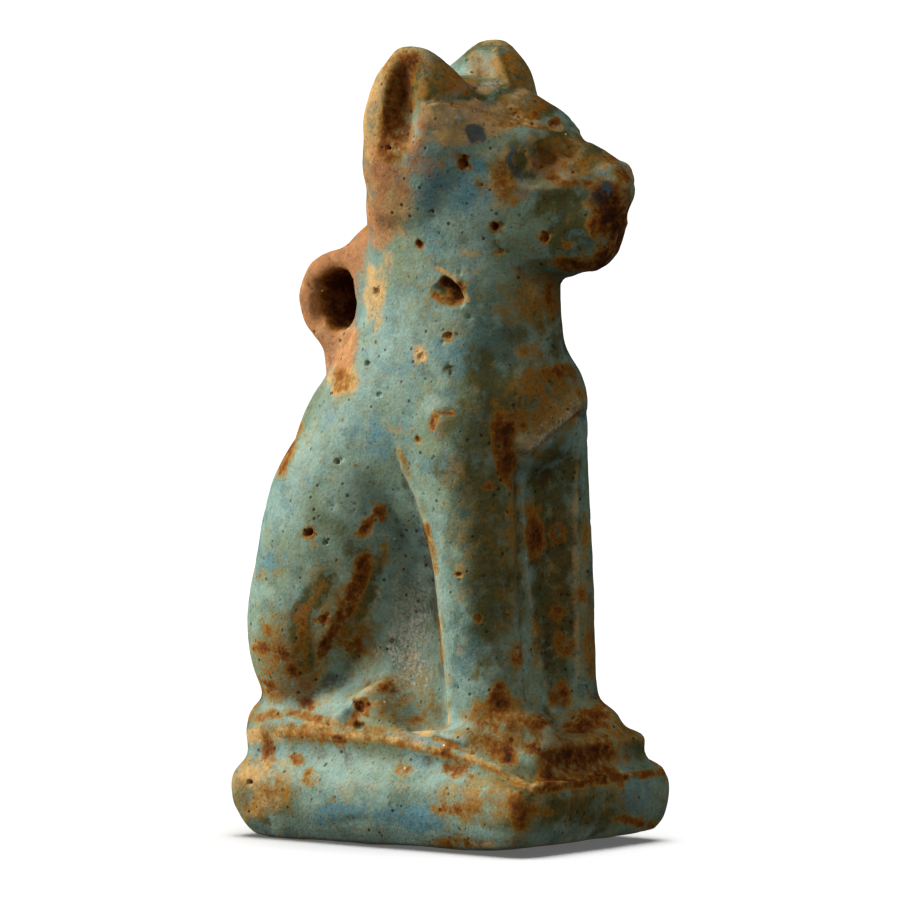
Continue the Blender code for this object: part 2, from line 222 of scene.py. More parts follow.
class Skin:
    """The amulet's fine skin, with the places of its points in space and in the photograph."""

    def __init__(self, mesh):
        self.mesh = mesh
        count = len(mesh.vertices)
        self.points = np.empty(count * 3)
        mesh.vertices.foreach_get("co", self.points)
        self.points = self.points.reshape(count, 3) / MM
        self.ends = np.empty(len(mesh.edges) * 2, dtype=np.int32)
        mesh.edges.foreach_get("vertices", self.ends)
        self.ends = self.ends.reshape(-1, 2)
        self.links = np.maximum(np.bincount(self.ends.ravel(), minlength=count), 1)
        self.tree = BVHTree.FromPolygons(
            [Vector(point) for point in self.points],
            [tuple(face.vertices) for face in mesh.polygons],
        )
        self.stains = {}
        self.small_warp = noise_field(self.points, SMALL_WARP, SMALL_WARP_SEED)
        self.large_warp = noise_field(self.points, LARGE_WARP, LARGE_WARP_SEED)
        self.refresh()

    def refresh(self):
        """Bring normals and photograph places up to date with the points."""
        self.mesh.vertices.foreach_set("co", (self.points * MM).ravel())
        self.mesh.update()
        self.normals = np.empty(len(self.points) * 3)
        self.mesh.vertex_normals.foreach_get("vector", self.normals)
        self.normals = self.normals.reshape(-1, 3)
        head = self.points[:, 2] > (GROUND_ROW - NECK_ROW) / PIXELS_PER_MM
        mirrored = self.points @ FLIP
        swung = self.points @ HEAD_SWING @ FLIP @ HEAD_SWING.T
        mirrored[head] = swung[head]
        self.places = {"right": project(self.points), "left": project(mirrored)}

    def sight(self, column, row):
        """Nearness to the camera of the skin behind a pixel of the photograph."""
        ahead = (
            Vector(RIGHT) * (column - PICTURE_SIZE / 2)
            + Vector(UP) * (PICTURE_SIZE / 2 - row)
            - Vector(BACK) * FOCAL_PIXELS
        ).normalized()
        found = self.tree.ray_cast(EYE / MM, ahead)[0]
        if found is None:
            return None
        return (found - EYE / MM).dot(BACK)

    def spread(self, values):
        """Each point's value averaged with its neighbours'."""
        total = values.astype(float).copy()
        for column in range(values.shape[1]):
            flow = values[:, column]
            total[:, column] += np.bincount(
                self.ends[:, 0], flow[self.ends[:, 1]], minlength=len(flow))
            total[:, column] += np.bincount(
                self.ends[:, 1], flow[self.ends[:, 0]], minlength=len(flow))
        return total / (self.links + 1)[:, None]

    def oval(self, column, row, half_width, half_height, tilt=0, side="right"):
        """1 at the middle of an oval of the photograph, falling to 0 at its edge."""
        near = self.sight(column, row)
        place = self.places[side]
        if near is None:
            near = place[np.argmin(np.hypot(place[:, 0] - column, place[:, 1] - row)), 2]
        across = place[:, 0] - column
        down = place[:, 1] - row
        turn = math.radians(tilt)
        along = across * math.cos(turn) - down * math.sin(turn)
        athwart = across * math.sin(turn) + down * math.cos(turn)
        reach = (along / half_width) ** 2 + (athwart / half_height) ** 2
        small = min(half_width, half_height) < SMALL_MARK
        reach = reach * (1 + WARP * (self.small_warp if small else self.large_warp))
        depth = 1 + max(half_width, half_height) / PIXELS_PER_MM
        reach = reach + ((place[:, 2] - near) / (OVAL_REACH * depth)) ** REACH_FALL
        return np.clip(1 - reach, 0, 1)

    def line(self, path, side="right"):
        """Signed pixels from a line of the photograph, left of its run positive, and its fade."""
        place = self.places[side]
        best = np.full(len(place), FAR_OFF)
        signed = np.full(len(place), FAR_OFF)
        fade = np.zeros(len(place))
        nears = [self.sight(*spot) for spot in path]
        known = [near for near in nears if near is not None]
        nears = [near if near is not None else known[-1] for near in nears]
        for index in range(len(path) - 1):
            start = np.array(path[index], float)
            run = np.array(path[index + 1], float) - start
            length = np.hypot(*run)
            offset = place[:, :2] - start
            share = np.clip(offset @ run / length ** 2, 0, 1)
            gap = offset - share[:, None] * run
            distance = np.hypot(gap[:, 0], gap[:, 1])
            turn = run[0] * offset[:, 1] - run[1] * offset[:, 0]
            near = nears[index] + share * (nears[index + 1] - nears[index])
            closer = distance < best
            best = np.where(closer, distance, best)
            signed = np.where(closer, -np.sign(turn) * distance, signed)
            lasting = np.clip(1 - ((place[:, 2] - near) / LINE_REACH) ** REACH_FALL, 0, 1)
            fade = np.where(closer, lasting, fade)
        return signed, fade

    def ends_fade(self, path, side, run_out):
        """1 along a line and 0 past its ends, changing over run_out pixels."""
        place = self.places[side]
        fade = np.ones(len(place))
        for tip, inner in ((path[0], path[1]), (path[-1], path[-2])):
            run = np.array(inner, float) - np.array(tip, float)
            ahead = (place[:, :2] - np.array(tip)) @ (run / np.hypot(*run))
            fade *= smooth_step(ahead / run_out)
        return fade

    def push(self, amount):
        """Move each point along its normal, in millimetres."""
        self.points += self.normals * amount[:, None]

    def dent(self, column, row, half_width, half_height, depth, sides, tilt=0):
        """An oval hollow, or a bulge where the depth is negative."""
        for side in sides:
            self.push(-depth * smooth_step(
                self.oval(column, row, half_width, half_height, tilt, side)))

    def groove(self, path, half_width, depth, sides, run_out):
        """A hollow along a line, or a ridge where the depth is negative."""
        for side in sides:
            signed, fade = self.line(path, side)
            fall = smooth_step(1 - np.abs(signed) / half_width)
            self.push(-depth * fall * fade * self.ends_fade(path, side, run_out))

    def ledge(self, path, rise, rise_width, drop, drop_width, sides, run_out):
        """A step along a line: raised on the left of its run and sunk on the right."""
        for side in sides:
            signed, fade = self.line(path, side)
            fade = fade * self.ends_fade(path, side, run_out)
            on_left = smooth_step(signed / LEDGE_BLEND + 0.5)
            on_right = smooth_step(0.5 - signed / LEDGE_BLEND)
            raised = rise * smooth_step(1 - signed / rise_width) * on_left
            sunk = drop * smooth_step(1 + signed / drop_width) * on_right
            self.push((raised - sunk) * fade)

    def stain(self, kind, amount):
        """Lay a stain, as a share of full strength, over what is there."""
        before = self.stains.get(kind, np.zeros(len(self.points)))
        self.stains[kind] = np.maximum(before, np.clip(amount, 0, 1))


def noise_field(points, size, seed):
    """Smooth noise from -1 to 1 whose lumps are about size millimetres across."""
    shift = Vector([seed * step for step in SEED_STEP])
    return np.array([noise.noise(Vector(point) / size + shift) for point in points])


def fine_copy(name):
    """A finer, smooth skin over the solid, as a piece of its own."""
    solid = bmesh.new()
    solid.from_mesh(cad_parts["cat_amulet"].data)
    bmesh.ops.remove_doubles(solid, verts=solid.verts, dist=WELD * MM)
    mesh = bpy.data.meshes.new(name)
    solid.to_mesh(mesh)
    solid.free()
    thing = bpy.data.objects.new(name, mesh)
    bpy.context.scene.collection.objects.link(thing)
    rounded = thing.modifiers.new("rounded", "SUBSURF")
    rounded.levels = 1
    rounded.render_levels = 1
    melt = thing.modifiers.new("melt", "REMESH")
    melt.mode = "VOXEL"
    melt.voxel_size = SKIN_CELL * MM
    melt.use_smooth_shade = True
    soften = thing.modifiers.new("soften", "SMOOTH")
    soften.iterations = SKIN_SMOOTHING
    depsgraph = bpy.context.evaluated_depsgraph_get()
    fine = bpy.data.meshes.new_from_object(thing.evaluated_get(depsgraph))
    thing.modifiers.clear()
    thing.data = fine
    return thing


# Marks of the photograph, each as column, row, half width, half height and strength, and a
# tilt in degrees where it leans

# Pits, whose strength is their depth in millimetres
PITS = (
    (463.5, 164, 7, 7, 0.3), (494.5, 227, 6, 6, 0.34), (545, 237, 6, 6, 0.22),
    (419.5, 244, 5, 4, 0.22, -40), (389, 148, 3.5, 3.5, 0.22), (432.5, 211.5, 3.5, 3.5, 0.18),
    (500, 252, 7, 4, 0.16, 10), (375.5, 292.5, 6, 6, 0.38), (448, 336, 6, 6, 0.2),
    (421, 357, 6, 6, 0.12), (451, 371, 4, 7, 0.15), (367, 363, 4, 4, 0.22),
    (379, 395, 4, 4, 0.15), (337, 461, 4.5, 5, 0.28), (308.5, 533, 6, 6, 0.36),
    (326, 543, 4, 3, 0.18), (401, 537, 3, 3, 0.2), (418, 440, 4, 5, 0.15),
    (323.5, 619, 6, 6, 0.15), (459, 575, 5, 4, 0.15), (479, 619, 6, 6, 0.12),
    (250, 782, 4, 4, 0.2), (358.5, 726, 7, 6, 0.25), (361, 707, 8, 8, 0.2),
    (388, 103, 5, 5, 0.15), (393, 113, 5, 6, 0.2),
)

# Rust, with ochre where it is weak and dark brown where it is strong
RUST_SPOTS = (
    # Broad
    (290, 665, 62, 62, 0.32), (345, 620, 40, 75, 0.32, 20), (595, 735, 66, 46, 0.42),
    (500, 730, 56, 42, 0.5), (570, 795, 125, 48, 0.18, -6), (330, 733, 120, 15, 0.4),
    (507, 560, 32, 170, 0.2), (555, 560, 34, 140, 0.2), (545, 400, 56, 52, 0.38, 20),
    (504, 180, 18, 34, 0.5, 10), (532, 300, 42, 44, 0.32), (614, 220, 34, 60, 0.85, 8),
    # (399, 100) darkens the near ear's hollow: rust and painted shade
    (560, 160, 60, 36, 0.4, 10), (399, 100, 19, 76, 0.62, 5), (445, 80, 50, 26, 0.4, 20),
    (530, 105, 60, 18, 0.4, 25), (520, 75, 42, 32, 0.4), (265, 790, 46, 40, 0.35),
    (490, 800, 66, 36, 0.32), (480, 520, 40, 120, 0.2), (400, 700, 60, 40, 0.3),
    (440, 300, 60, 60, 0.15),
    # Head
    (463.5, 164, 9, 9, 0.9), (443, 90, 12, 6, 0.7, 10), (466, 92, 7, 5, 0.7),
    (503, 102, 7, 6, 0.6), (528, 117, 26, 7, 0.75, 18), (555, 122, 10, 7, 0.8, 20),
    (388, 148, 6, 5, 0.9), (560, 180, 20, 7, 0.75, -10), (585, 184, 14, 6, 0.75, -20),
    (612, 160, 16, 8, 0.6, 30), (626, 176, 10, 12, 0.6), (613, 216, 24, 48, 1, 10),
    (592, 205, 5, 22, 0.5, 10), (545, 237, 8, 8, 0.8), (568, 245, 10, 7, 0.6),
    (575, 264, 34, 9, 0.85, -4), (602, 252, 14, 12, 0.5), (500, 252, 9, 5, 0.6, 10),
    (595, 212, 6, 34, 0.9, 4), (481, 186, 7, 9, 0.6, 20), (494.5, 227, 8, 8, 0.9),
    (419.5, 244, 6, 5, 0.8, -40), (508, 58, 9, 18, 0.5, -20),
    # Neck and chest
    (458, 290, 9, 12, 1, -35), (505, 450, 16, 40, 0.9), (556, 372, 16, 12, 0.7, 20),
    (520, 420, 14, 20, 0.6), (548, 292, 9, 16, 0.7), (455, 291, 12, 13, 0.8, 35),
    (448, 336, 8, 8, 0.6), (555, 300, 10, 26, 0.6, -10), (530, 350, 22, 12, 0.35),
    (537, 378, 26, 16, 0.6, 30), (505, 430, 20, 24, 0.95), (507, 470, 12, 26, 0.75),
    (497, 410, 10, 16, 0.5), (580, 395, 8, 10, 0.5), (537, 455, 8, 8, 0.45),
    (434, 420, 6, 14, 0.6, -25), (418, 440, 5, 7, 0.5), (343, 379, 17, 17, 0.45),
    # Back edge and haunch
    (290, 447, 8, 26, 0.7, -25), (283, 468, 5, 14, 0.6, -20), (380, 511, 10, 10, 1),
    (366, 527, 7, 16, 0.95, -35), (308.5, 533, 9, 8, 0.8), (323.5, 619, 8, 7, 0.9),
    (262, 574, 6, 9, 0.4), (277, 573, 12, 6, 0.3, 20), (264, 648, 16, 9, 0.7, 10),
    (268, 632, 8, 14, 0.5, 30), (285, 655, 16, 12, 0.8), (294, 670, 9, 18, 0.8),
    (268, 682, 12, 20, 0.75), (250, 700, 9, 14, 0.6, 20),
    # Hind paw and recess
    (362, 707, 11, 13, 0.95), (354, 722, 12, 9, 0.9), (385, 687, 14, 8, 0.75, 20),
    (307, 704, 9, 9, 0.8), (351, 640, 26, 18, 0.55, -20), (385, 545, 7, 26, 0.35),
    (417, 720, 14, 8, 0.55, 20),
    # Forelegs and the panel between them
    (512, 520, 10, 60, 0.35), (590, 640, 10, 60, 0.4), (536, 640, 8, 40, 0.35),
    (479, 619, 7, 7, 0.7), (459, 575, 6, 5, 0.6), (518, 656, 9, 18, 0.7),
    (500, 700, 18, 20, 0.85), (484, 722, 14, 12, 0.8), (535, 535, 14, 28, 0.9),
    (530, 508, 8, 12, 0.5), (557, 534, 11, 14, 0.95), (557, 613, 11, 11, 0.6),
    (564, 648, 13, 18, 0.7), (583, 600, 8, 30, 0.45), (585, 540, 7, 40, 0.35),
    (560, 695, 16, 18, 0.8),
    # Plinth
    (542, 720, 26, 12, 0.95, 5), (585, 722, 30, 20, 0.85, 10), (600, 705, 12, 8, 0.6, 30),
    (337, 739, 16, 7, 0.95), (268, 749, 9, 22, 0.7), (297, 759, 9, 8, 0.6),
    (310, 778, 11, 11, 0.6), (404, 770, 12, 7, 0.55, 10), (458, 770, 20, 10, 0.8),
    (441, 752, 14, 7, 0.8), (452, 809, 26, 8, 0.7), (506, 755, 16, 14, 0.95),
    (531, 748, 14, 12, 0.95, -20), (570, 762, 44, 22, 1, -6), (600, 752, 30, 14, 0.9, 10),
    (548, 778, 16, 14, 0.9), (600, 775, 40, 12, 0.75, -6), (520, 812, 18, 22, 0.8),
    (545, 812, 10, 8, 0.6), (636, 822, 34, 7, 0.65, -10), (455, 843, 34, 8, 0.6),
    (332, 800, 6, 6, 0.5),
)

# Stained lines of the photograph, each as a kind, a half width, a strength and its path
STAINED_LINES = (
    ("rust", 9, 0.8, ((364, 560), (360, 580), (351, 602), (341, 618))),
    ("rust", 6, 0.75, ((345, 612), (332, 634), (321, 654))),
    ("olive", 12, 1.0, ((326, 580), (311, 600), (301, 614), (300, 636), (304, 662))),
    ("rust", 5, 0.5, ((324, 584), (311, 602), (302, 616), (301, 640), (306, 664))),
    ("olive", 7, 0.8, ((378, 560), (372, 590), (360, 612), (346, 632))),
    ("rust", 4, 0.3, ((400, 452), (405, 464), (409, 476))),
    ("rust", 4, 0.42, ((426, 525), (431, 545), (436, 570))),
    ("rust", 2.5, 0.4, ((438, 620), (441, 640), (443, 662))),
    # The rust down the near ear's hollow is also painted shade where the rim shades it
    ("rust", 14, 0.75, ((408, 62), (400, 85), (394, 115), (391, 150))),
    ("rust", 13, 0.95, ((609, 192), (613, 215), (613, 245), (604, 262))),
    ("blue", 6, 1.0, ((515, 148), (508, 158), (511, 170), (520, 178))),
    ("ink", 4, 0.6, ((513, 150), (508, 159), (511, 169), (518, 175))),
    ("tan", 3, 0.7, ((526, 151), (531, 159), (528, 168))),
    ("rust", 4, 0.45, ((241, 728), (285, 733), (324, 737), (366, 738))),
    ("rust", 4, 0.45, ((366, 738), (410, 746), (449, 757), (474, 763), (500, 773), (531, 790))),
    ("rust", 3.5, 0.5, ((434, 738), (450, 744), (472, 752))),
    ("rust", 5, 0.6, ((531, 791), (560, 787), (600, 781), (663, 772))),
    ("rust", 5, 0.5, ((252, 718), (290, 712), (330, 722))),
    ("rust", 4, 0.6, ((300, 425), (289, 447), (282, 468))),
    ("rust", 2.5, 0.7, ((432, 430), (433, 419), (441, 413), (452, 413))),
    ("rust", 2.5, 0.35, ((440, 103), (470, 108), (502, 119), (532, 126), (560, 131))),
    ("tan", 2.2, 0.3, ((386, 420), (396, 440), (404, 468), (418, 497), (430, 537), (437, 575),
                     (441, 622), (445, 659))),
    ("tan", 4, 0.55, ((239, 727), (285, 731), (324, 735), (366, 736), (410, 743), (449, 753),
                      (474, 759), (500, 770), (531, 788))),
    ("tan", 5, 0.6, ((531, 788), (560, 783), (600, 777), (663, 768))),
    # The tan and pale lines along the chest's ridge and the brow are also painted highlights on
    # their lit edges
    ("tan", 16, 0.35, ((522, 450), (540, 434), (560, 416), (584, 394))),
    ("tan", 4, 0.8, ((424, 105), (440, 103), (468, 106), (502, 116), (532, 123), (560, 128))),
    ("residue", 2.2, 0.65, ((424, 103), (440, 100.5), (468, 103.5), (502, 114.5), (532, 122),
                            (560, 127))),
    ("residue", 3, 0.9, ((526, 452), (548, 434), (588, 402))),
    ("residue", 2, 0.8, ((530, 445), (556, 424), (590, 390))),
    ("residue", 2, 0.8, ((524, 462), (534, 448), (560, 438))),
    ("residue", 2, 0.7, ((530, 438), (552, 416), (580, 396))),
    ("tan", 2.5, 0.9, ((437, 268), (450, 275), (461, 286), (468, 300))),
    ("rust", 5, 1.0, ((444, 281), (453, 288), (459, 298))),
    ("rust", 6, 0.6, ((436, 296), (447, 301), (459, 301))),
)

# Bare tan or brown body where the glaze is thin or gone, on both sides
BOTH_SIDES_TAN = (
    (322, 292, 40, 80, 0.8), (381, 66, 18, 34, 1, -10), (374, 100, 18, 50, 1, -5),
    (374, 140, 20, 44, 0.9, 5), (388, 195, 34, 60, 0.8),
)
BOTH_SIDES_BROWN = (
    (322, 292, 44, 84, 1), (306, 300, 12, 40, 1), (338, 252, 28, 20, 1, -25),
    (355, 262, 16, 22, 0.9), (380, 172, 28, 52, 0.6), (378, 220, 20, 40, 0.7),
)

# The same on the photograph's side alone; the first three, on the temple below the brow, are also
# painted light, lighter where the light falls
TAN_SPOTS = (
    (475, 124, 62, 24, 1, 12), (446, 118, 34, 22, 1, 8), (450, 112, 40, 14, 1, 10),
    (498, 170, 16, 46, 0.5), (612, 156, 30, 14, 0.3, 30), (400, 50, 18, 7, 0.4),
    (482, 74, 20, 28, 0.5, 15), (488, 88, 16, 8, 0.7, 15), (518, 95, 20, 8, 0.55, 30),
    (375, 292, 14, 38, 0.85), (388, 262, 8, 18, 0.5), (344, 352, 13, 40, 0.85, -12),
    (343, 380, 20, 22, 0.9), (398, 430, 6, 6, 0.6), (421, 357, 13, 13, 0.65),
    (470, 254, 17, 7, 0.6, 8), (473, 271, 16, 7, 0.6), (405, 245, 9, 9, 0.25),
    (412, 656, 16, 14, 0.45), (375, 560, 30, 16, 0.25, 70), (255, 772, 30, 16, 0.7, 20),
    (262, 805, 40, 18, 0.5, 25), (270, 790, 26, 12, 0.45, 10), (258, 735, 24, 12, 0.8),
    (320, 725, 26, 8, 0.6, 5), (540, 290, 30, 26, 0.35), (480, 845, 22, 5, 0.6),
    (560, 410, 34, 9, 0.45, -40), (530, 443, 20, 6, 0.5, -38),
)

BROWN_SPOTS = (
    (410, 150, 22, 34, 0.6, 20), (565, 178, 34, 12, 0.6, -8), (402, 190, 14, 26, 0.6, 10),
    (418, 125, 16, 12, 0.5), (480, 113, 30, 12, 0.4, 10), (520, 195, 16, 10, 0.4),
    (550, 165, 30, 14, 0.65), (605, 152, 22, 10, 0.25, 30), (455, 155, 8, 9, 0.5),
    (440, 165, 7, 7, 0.45), (460, 88, 30, 8, 0.55, 15), (405, 96, 12, 34, 0.35, 5),
    (345, 350, 16, 46, 0.7, -12), (300, 612, 16, 14, 0.35), (300, 690, 34, 14, 0.35, 10),
)

# Yellow-green to dark olive glaze
OLIVE_SPOTS = (
    (540, 108, 38, 15, 1, 28), (500, 96, 30, 14, 0.9, 15), (468, 470, 24, 60, 0.6),
    (480, 370, 26, 40, 0.7), (430, 80, 36, 30, 1, 30), (490, 98, 60, 20, 0.8, 22),
    (520, 160, 28, 26, 0.8), (590, 158, 36, 18, 1, 30), (450, 425, 26, 26, 0.7),
    (572, 232, 34, 30, 0.95), (558, 206, 40, 20, 0.9), (540, 300, 36, 44, 0.7),
    (490, 70, 18, 26, 0.6), (516, 78, 14, 30, 0.8), (500, 180, 14, 20, 0.5),
    (548, 540, 34, 120, 0.8), (510, 66, 28, 40, 0.8), (452, 82, 74, 30, 0.6, 20),
    (545, 395, 54, 52, 0.6, 20), (489, 560, 26, 180, 0.7), (492, 400, 46, 66, 0.8),
    (505, 560, 28, 180, 0.5), (556, 580, 30, 150, 0.9), (565, 150, 44, 28, 0.8, 10),
    (566, 208, 48, 36, 0.9), (425, 75, 26, 22, 0.8, 30), (400, 88, 18, 36, 0.9, 10),
    (470, 92, 36, 10, 0.7, 20), (540, 112, 30, 8, 0.7, 25), (548, 140, 36, 13, 1, 8),
    (566, 152, 16, 16, 1), (545, 160, 30, 12, 0.7), (572, 204, 28, 15, 0.95, 10),
    (560, 225, 40, 30, 0.45), (600, 262, 14, 12, 0.7), (532, 292, 34, 30, 0.6),
    (520, 330, 26, 26, 0.5), (530, 385, 40, 24, 0.8, 20), (560, 345, 20, 34, 0.6),
    (445, 470, 20, 13, 0.7), (468, 463, 10, 12, 0.7), (463, 281, 8, 8, 0.5),
    (446, 288, 10, 12, 1), (520, 560, 18, 90, 0.5), (560, 480, 26, 44, 0.8),
    (463, 239, 9, 7, 0.5), (451, 371, 8, 10, 0.7), (320, 325, 8, 20, 0.5, 10),
    (330, 525, 40, 16, 0.4, -10), (353, 548, 24, 20, 0.5, -30), (552, 590, 26, 130, 0.9),
    (548, 490, 30, 40, 0.8), (480, 545, 20, 30, 0.3), (390, 650, 30, 30, 0.35),
    (385, 745, 50, 10, 0.3, 5), (250, 815, 30, 20, 0.5, 20), (285, 800, 26, 26, 0.4),
    (350, 818, 50, 8, 0.4, 8), (540, 790, 60, 40, 0.65), (590, 800, 60, 26, 0.5, -6),
    (640, 745, 26, 20, 0.6), (520, 820, 60, 20, 0.5), (565, 808, 70, 24, 0.9, -8),
)

# Dark blue-green spots over the other stains, below the brow, on the cheek and by the nose
INK_SPOTS = (
    (477, 134, 14, 14, 1), (606, 187, 9, 9, 0.9), (590, 195, 16, 12, 0.5), (478, 186, 9, 9, 0.4),
)

# Deeper glaze, also painted shade: darker on the shaded front and on the foreleg's side that the
# haunch shades
DEEP_GLAZE_AND_SHADE_SPOTS = (
    (545, 400, 50, 50, 0.8), (640, 760, 40, 40, 0.8), (535, 300, 40, 40, 0.4),
    (465, 400, 40, 60, 1), (500, 340, 40, 60, 0.7), (455, 560, 20, 100, 0.5),
    (470, 320, 66, 70, 0.8), (478, 400, 52, 80, 1), (482, 560, 42, 190, 1),
    (500, 560, 30, 170, 0.4), (475, 680, 36, 60, 0.6), (570, 210, 40, 50, 0.9),
    (400, 800, 80, 40, 0.3), (560, 560, 40, 180, 0.6), (600, 800, 100, 50, 0.6),
)

# Painted shade with dark dirt, on the shaded front side and in recesses; it also lies in whatever
# is hollow
SHADE_AND_DIRT_SPOTS = (
    (560, 575, 40, 130, 0.6), (557, 534, 10, 13, 1), (506, 600, 12, 100, 0.5),
    (590, 600, 10, 100, 0.6), (545, 402, 46, 40, 0.5, 20), (545, 300, 26, 40, 0.5),
    (400, 96, 12, 48, 0.6, 5), (553, 150, 26, 14, 0.6, 8), (570, 240, 30, 24, 0.4),
    (330, 300, 12, 30, 0.4), (570, 757, 64, 26, 1, -8), (560, 800, 70, 20, 0.5, -8),
    (522, 806, 18, 28, 0.7), (505, 452, 16, 42, 0.9), (560, 375, 30, 20, 0.6),
    (612, 222, 20, 40, 0.6, 8), (458, 291, 8, 11, 1, -35), (535, 545, 14, 34, 0.8),
    (590, 690, 20, 30, 0.6, 20),
)

# Bluer glaze
BLUE_SPOTS = (
    (477, 134, 15, 15, 1), (606, 187, 9, 9, 0.8), (478, 165, 14, 14, 0.8),
    (462, 192, 34, 28, 0.65, -20), (490, 195, 22, 18, 0.6), (435, 200, 26, 26, 0.45),
    (528, 192, 20, 14, 0.6), (585, 170, 16, 7, 0.35, -20), (440, 320, 40, 34, 0.5),
    (470, 340, 34, 50, 0.25), (372, 370, 26, 40, 0.45), (340, 420, 36, 28, 0.5, -20),
    (385, 440, 30, 40, 0.45), (262, 530, 20, 60, 0.55, 10), (275, 500, 20, 40, 0.4, 20),
    (440, 400, 30, 30, 0.3), (395, 480, 26, 50, 0.4, -20), (339, 812, 40, 15, 0.9, 5),
    (421, 820, 34, 18, 0.85, 10), (385, 815, 30, 14, 0.6, 5), (480, 800, 26, 14, 0.4),
    (637, 794, 22, 22, 0.9), (400, 765, 50, 10, 0.3, 5), (548, 645, 10, 26, 0.4),
)

# Pale powdery residue; the spot on the temple below the brow is a painted highlight
RESIDUE_AND_HIGHLIGHT_SPOTS = (
    (408, 630, 36, 90, 1), (535, 300, 36, 36, 0.25), (456, 116, 44, 16, 0.75, 10),
    (492, 84, 22, 10, 0.7, 20),
)

# The flat behind the foreleg, where the surface is coarser
RECESS = (400, 620, 44, 110)

# The chip in the neck
CHIP_SPOT = (452, 290, 21, 17)

# Lines of the photograph, each as its columns and rows
BROW = ((424, 104), (440, 101.5), (468, 104.5), (502, 115.5), (532, 123), (566, 128))
FORELEG_REAR = ((394, 436), (402, 468), (416, 497), (428, 537), (435, 575), (439, 622),
                (443, 659), (448, 700))
HAUNCH_FRONT = ((386, 500), (374, 535), (366, 562), (354, 592), (338, 622), (320, 657),
                (326, 682))
STEP_LINE = ((239, 729), (285, 733), (324, 737), (366, 738), (410, 745), (449, 755),
             (474, 761), (500, 772), (531, 790))
EAR_LINE = ((409, 52), (402, 76), (395, 102), (391, 130), (392, 158))
CHIP_EDGE = ((437, 271), (450, 279), (459, 288), (465, 301))
CHEST_EDGE = ((522, 457), (540, 443), (560, 425), (584, 404))
FRONT_STEP = ((528, 789), (560, 785), (600, 779), (660, 771))
PAW_CREVICE = ((405, 728), (430, 735), (448, 742), (472, 751))
BELOW_BROW = ((430, 106), (470, 110), (505, 121), (535, 129))
TEMPLE = ((502, 118), (508, 140), (504, 176))
CHEEKBONE = ((503, 183), (533, 188), (565, 184))
NOSE_SIDE = ((556, 183), (583, 176), (606, 168), (622, 166))
MOUTH = ((600, 226), (612, 222), (624, 221))
MUZZLE_EDGE = ((586, 188), (590, 210), (596, 248))
FAR_EAR_EDGE = ((494, 46), (499, 62), (505, 80), (510, 92))
FRONT_HOLLOW = ((497, 330), (497, 400), (497, 470), (498, 560), (500, 640), (503, 690))
FORELEG_SIDE = ((436, 390), (450, 470), (456, 560), (460, 640), (464, 690))
FORELEG_FRONT = ((522, 470), (521, 500), (525, 560), (530, 600), (536, 645), (545, 692))
FAR_FORELEG = ((578, 440), (575, 500), (575, 560), (576, 640), (577, 690))
HIND_PAW = ((333, 722), (352, 706), (369, 693), (383, 685), (393, 690))
SHOULDER_NICK = ((432, 431), (433, 420), (441, 413), (454, 413))

# Sides: the one that the photograph shows, and both
SEEN = ("right",)
BOTH = ("right", "left")

# Grooves, or ridges where the depth is negative, each as a line, half width in pixels, depth in
# millimetres, sides, and run-out of its ends in pixels
HEAD_GROOVES = (
    (EAR_LINE, 26, 0.3, BOTH, 24),
    (BELOW_BROW, 34, 0.18, BOTH, 20),
    (BROW, 2.5, 0.06, BOTH, 8),
    (TEMPLE, 40, -0.22, BOTH, 16),
    (CHEEKBONE, 8, -0.08, BOTH, 8),
    (NOSE_SIDE, 8, -0.12, BOTH, 8),
    (MOUTH, 5, 0.07, BOTH, 4),
    (MUZZLE_EDGE, 12, -0.12, BOTH, 16),
    (FAR_EAR_EDGE, 7, -0.18, SEEN, 8),
)
BODY_GROOVES = (
    (FRONT_HOLLOW, 38, 0.42, SEEN, 50),
    (FORELEG_SIDE, 26, -0.2, SEEN, 50),
    (FORELEG_FRONT, 6, -0.12, SEEN, 8),
    (FAR_FORELEG, 6, -0.15, SEEN, 8),
    (HIND_PAW, 9, -0.25, BOTH, 8),
    (SHOULDER_NICK, 3, 0.15, SEEN, 8),
)
PLINTH_GROOVES = (
    (STEP_LINE, 7, -0.12, BOTH, 8),
    (PAW_CREVICE, 5, 0.16, SEEN, 8),
    (FRONT_STEP, 5, -0.12, BOTH, 8),
)

# Hollows, or bulges where the depth is negative, each as column, row, half width, half height,
# depth in millimetres and sides, and a tilt where it leans
HEAD_DENTS = (
    (552, 150, 30, 18, 0.28, BOTH, 10),
    (569, 150, 10, 8, 0.15, BOTH),
    (520, 160, 19, 19, -0.16, BOTH, 10),
    (572, 203, 24, 15, 0.12, BOTH),
    (640, 196, 18, 42, 0.22, SEEN),
    (642, 226, 26, 60, 0.26, SEEN),
    (596, 282, 36, 13, 0.25, SEEN),
    (612, 222, 14, 30, 0.15, SEEN, 8),
    (483, 72, 13, 20, 0.3, SEEN, 20),
)
BODY_DENTS = (
    (557, 534, 10, 13, -0.15, SEEN),
    (380, 511, 9, 9, -0.12, SEEN),
)
BORE_MOUTH = (320, 300, 12, 30, 0.3, BOTH)

# Steps, each as a line, rise on its left and over how many pixels, drop on its right and over
# how many, sides, and run-out of its ends in pixels
BODY_LEDGES = (
    (FORELEG_REAR, 0.14, 18, 0.1, 26, BOTH, 30),
    (HAUNCH_FRONT[::-1], 0.08, 22, 0.1, 24, BOTH, 30),
    (CHEST_EDGE, 0.36, 30, 0.42, 28, SEEN, 8),
)

